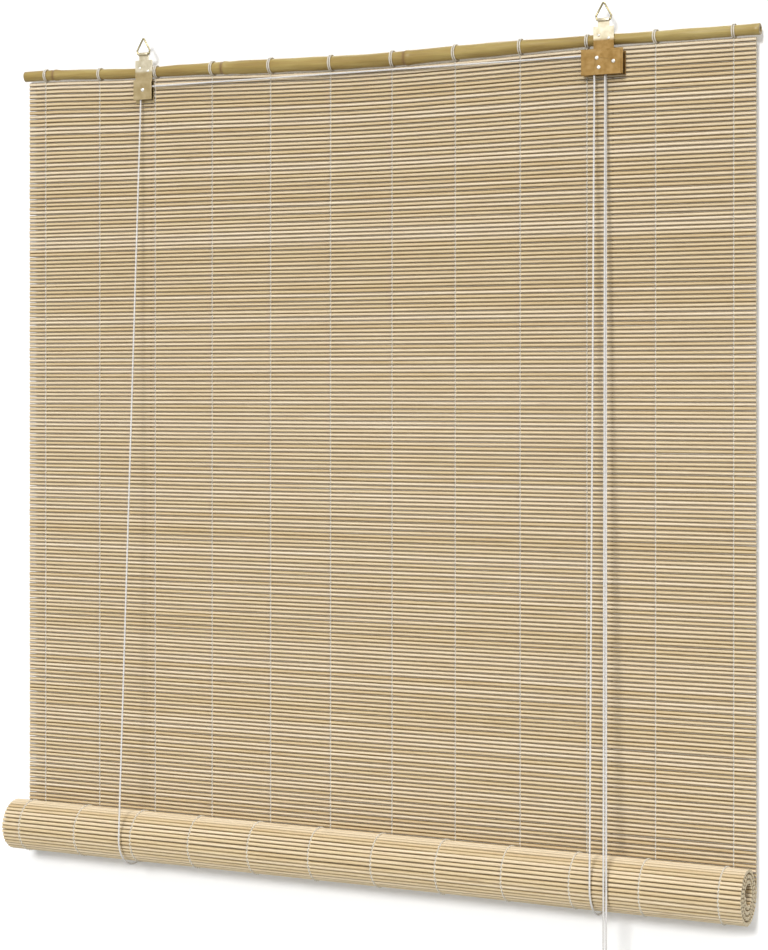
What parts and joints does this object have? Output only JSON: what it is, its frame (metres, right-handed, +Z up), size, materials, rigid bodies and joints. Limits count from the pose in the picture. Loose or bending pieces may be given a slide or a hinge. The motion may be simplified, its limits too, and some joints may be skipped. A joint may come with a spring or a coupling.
{
  "type": "bamboo roll up blind",
  "caption": "Natural bamboo reed blind on a cane head pole, partly rolled up, with brass wire hangers, a pulley, a cord lock, lift cords round the roll and a knotted pull cord.",
  "frame": {"origin": "midway between the two points where the wire hangers sit on their hooks", "axes": "+X to the right seen from the room, -Y towards the room, +Z up"},
  "size_m": [0.908, 0.0796, 1.0246],
  "materials": {
    "reed": "round straw-coloured bamboo reeds, matt",
    "cane": "olive tan bamboo cane, satin",
    "thread": "white cotton binding thread",
    "cord": "white braided cord",
    "brass": "thin brass-plated sheet, satin",
    "bright": "bright plated rivets, nails and wheels"
  },
  "bodies": {
    "head": {"reed_mat": "reed", "head_pole": "cane", "pole_lashings": "thread", "warp_threads": "thread", "head_cord": "cord", "right_lift_wrap": "cord", "left_lift_front": "cord", "left_lift_back": "cord", "right_lift_front": "cord", "right_lift_back": "cord", "cord_knots": "cord", "front_pull_upper": "cord", "rear_pull_upper": "cord", "left_front_plate": "brass", "left_back_plate": "brass", "lock_front_plate": "brass", "lock_back_plate": "brass", "left_pulley_rivet": "bright", "lock_rivets": "bright", "bracket_nails": "bright"},
    "left_pulley": {"left_pulley": "bright"},
    "lock_pulley": {"lock_pulley": "bright"},
    "lock_guide_roller": {"lock_guide_roller": "bright"},
    "lock_cam": {"lock_cam": "brass"},
    "left_hanger": {"left_hanger": "brass"},
    "right_hanger": {"right_hanger": "brass"},
    "slings": {"left_lift_loop": "cord", "right_lift_loop": "cord"},
    "roll": {"mat_roll": "reed", "roll_threads": "thread"},
    "pull_end": {"front_pull_tail": "cord", "rear_pull_tail": "cord", "pull_knot": "cord"}
  },
  "joints": [
    {"name": "roll_lift", "type": "slide", "parent": "head", "child": "slings", "axis": [0, 0, 1], "range_m": [0, 0.815], "deforming": ["reed_mat", "warp_threads", "left_lift_front", "right_lift_front", "left_lift_back", "right_lift_back", "front_pull_upper", "rear_pull_upper"]},
    {"name": "roll_turn", "type": "hinge", "parent": "slings", "child": "roll", "pos_m": [0, -0.022, -0.92649], "axis": [-1, 0, 0], "range_deg": [0, 1440]},
    {"name": "cord_pull", "type": "slide", "parent": "slings", "child": "pull_end", "axis": [0, 0, -1], "range_m": [0, 2.445]},
    {"name": "left_pulley_spin", "type": "hinge", "parent": "head", "child": "left_pulley", "pos_m": [-0.285, 0.00075, -0.05899], "axis": [0, 1, 0], "continuous": true},
    {"name": "lock_pulley_spin", "type": "hinge", "parent": "head", "child": "lock_pulley", "pos_m": [0.2794, -0.00085, -0.05789], "axis": [0, 1, 0], "continuous": true},
    {"name": "guide_roller_spin", "type": "hinge", "parent": "head", "child": "lock_guide_roller", "pos_m": [0.2816, -0.00085, -0.06809], "axis": [0, 1, 0], "continuous": true},
    {"name": "cam_swing", "type": "hinge", "parent": "head", "child": "lock_cam", "pos_m": [0.298, -0.00085, -0.06229], "axis": [0, -1, 0], "range_deg": [0, 35]},
    {"name": "left_hanger_swing", "type": "hinge", "parent": "head", "child": "left_hanger", "pos_m": [-0.285, 0, -0.01699], "axis": [1, 0, 0], "range_deg": [-90, 90]},
    {"name": "right_hanger_swing", "type": "hinge", "parent": "head", "child": "right_hanger", "pos_m": [0.285, 0, -0.01699], "axis": [1, 0, 0], "range_deg": [-90, 90]}
  ],
  "couplings": [
    {"joint": "roll_turn", "follows": "roll_lift", "rad_per_m": 30.838},
    {"joint": "cord_pull", "follows": "roll_lift", "ratio": 3}
  ]
}
